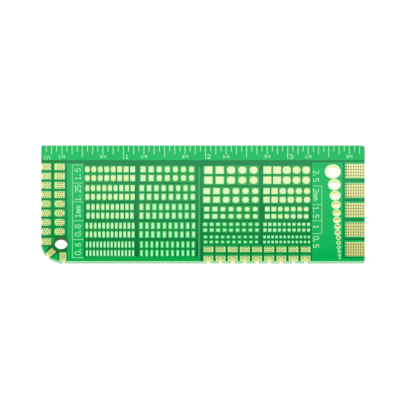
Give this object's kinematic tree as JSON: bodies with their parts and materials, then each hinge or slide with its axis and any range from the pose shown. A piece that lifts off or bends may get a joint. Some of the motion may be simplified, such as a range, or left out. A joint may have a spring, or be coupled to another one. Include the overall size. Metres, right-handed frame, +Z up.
{
  "type": "soldering practice board",
  "caption": "Bare green circuit board for soldering practice: a ruler along one edge, blocks of gold pads, via pads, castellated edges and a column of graded plated holes",
  "frame": {"origin": "middle of the underside", "axes": "X runs along the ruler from the rounded corner's end to the large grid pads, Y points from the castellated lower edge to the ruler's edge, Z points up out of the printed face"},
  "size_m": [0.1, 0.04, 0.0016],
  "materials": {
    "laminate": "pale glass-fibre laminate, satin at its cut edge",
    "mask_dark": "green solder mask over bare laminate",
    "mask_light": "green solder mask over copper, lighter than over laminate",
    "gold": "thin pale gold plating on copper, satin",
    "print": "white print"
  },
  "bodies": {
    "root": {"bar_tight_ground": "mask_light", "bar_tight_pads_060": "gold", "bar_tight_pads_080": "gold", "bar_tight_pads_100": "gold", "bar_tight_pads_125": "gold", "bar_tight_pads_150": "gold", "bar_wide_ground": "mask_light", "bar_wide_pads_060": "gold", "bar_wide_pads_080": "gold", "bar_wide_pads_100": "gold", "bar_wide_pads_125": "gold", "bar_wide_pads_150": "gold", "bracket_left": "print", "bracket_right": "print", "centre_trace": "mask_light", "dot_tight_ground": "mask_light", "dot_tight_pads_075": "gold", "dot_tight_pads_100": "gold", "dot_tight_pads_150": "gold", "dot_tight_pads_200": "gold", "dot_tight_pads_250": "gold", "dot_wide_ground": "mask_light", "dot_wide_pads_075": "gold", "dot_wide_pads_100": "gold", "dot_wide_pads_150": "gold", "dot_wide_pads_200": "gold", "dot_wide_pads_250": "gold", "edge_pad_corner": "gold", "edge_pad_foot": "gold", "edge_pads_left": "gold", "edge_pads_lower": "gold", "grid_pads": "gold", "label_strip_left": "mask_light", "label_strip_right": "mask_light", "laminate_core": "laminate", "plated_hole_01": "gold", "plated_hole_02": "gold", "plated_hole_03": "gold", "plated_hole_04": "gold", "plated_hole_05": "gold", "plated_hole_06": "gold", "plated_hole_07": "gold", "plated_hole_08": "gold", "plated_hole_09": "gold", "plated_hole_10": "gold", "plated_hole_11": "gold", "plated_hole_12": "gold", "plated_hole_13": "gold", "plated_hole_14": "gold", "ruler_strip": "mask_light", "ruler_ticks": "print", "solder_mask": "mask_dark", "via_pads_left": "gold", "via_pads_lower": "gold"}
  },
  "joints": []
}
